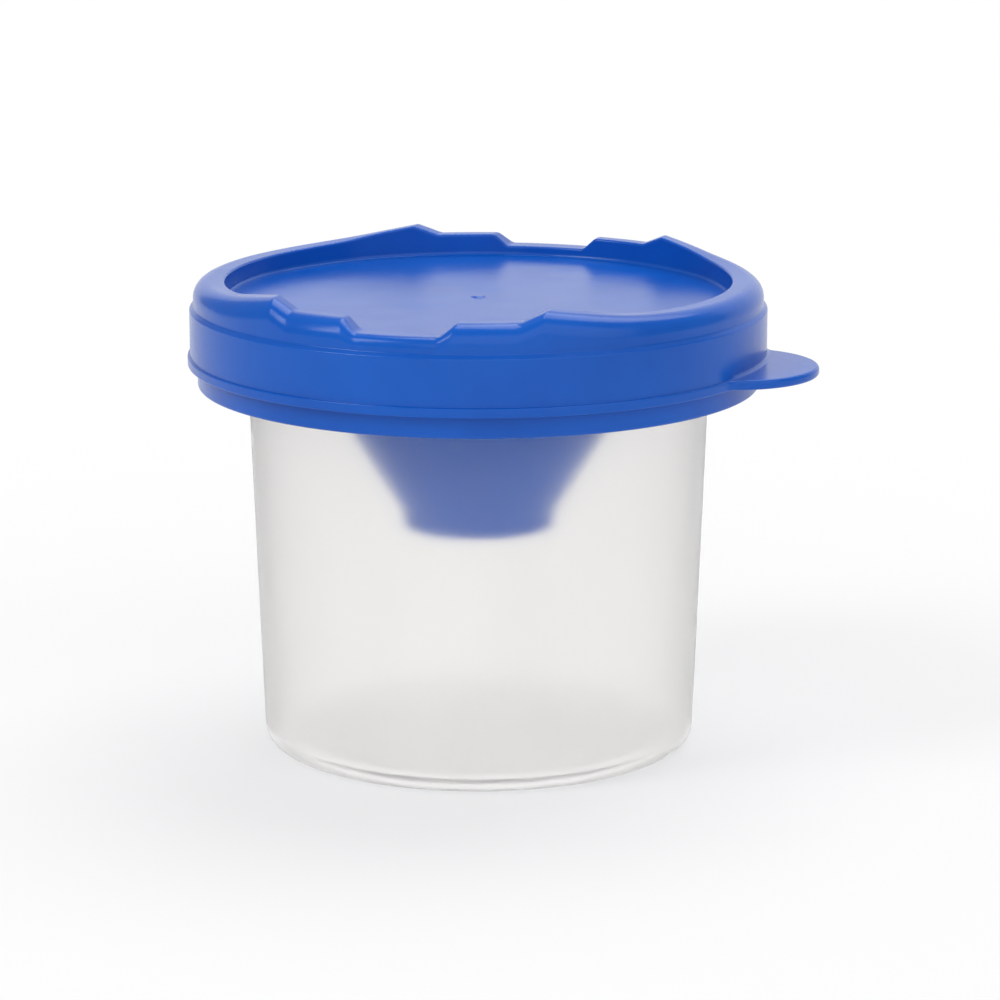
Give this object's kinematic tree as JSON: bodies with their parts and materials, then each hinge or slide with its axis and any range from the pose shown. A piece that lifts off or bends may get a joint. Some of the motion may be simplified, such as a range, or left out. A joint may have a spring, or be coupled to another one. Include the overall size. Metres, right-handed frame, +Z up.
{
  "type": "paint_cup_with_lid",
  "caption": "Closed no-spill paint cup: a milky tapered cup, a blue funnel lid over its rim and a blue snap cap with a pull tab and a stepped brush rest",
  "frame": {"origin": "on the pot's axis, in the plane of the foot ring that the cup stands on", "axes": "+Z is up along the pot's axis; +X points along the cap's pull tab; the brush rest's notches lie at +Y and -Y"},
  "size_m": [0.0996, 0.091, 0.076],
  "materials": {
    "milky_plastic": "translucent frosted polypropylene, slightly warm white, semi-matte with a faint moulded grain",
    "blue_plastic": "opaque satin-gloss blue polypropylene with soft highlights on rounded edges and fine handling marks"
  },
  "bodies": {
    "cup": {"cup": "milky_plastic"},
    "funnel_lid": {"funnel_lid": "blue_plastic"},
    "cap": {"cap": "blue_plastic"}
  },
  "joints": [
    {"name": "lid_lift", "type": "slide", "parent": "cup", "child": "funnel_lid", "axis": [0, 0, 1], "range_m": [0, 0.045]},
    {"name": "cap_lift", "type": "slide", "parent": "funnel_lid", "child": "cap", "axis": [0, 0, 1], "range_m": [0, 0.03]}
  ]
}
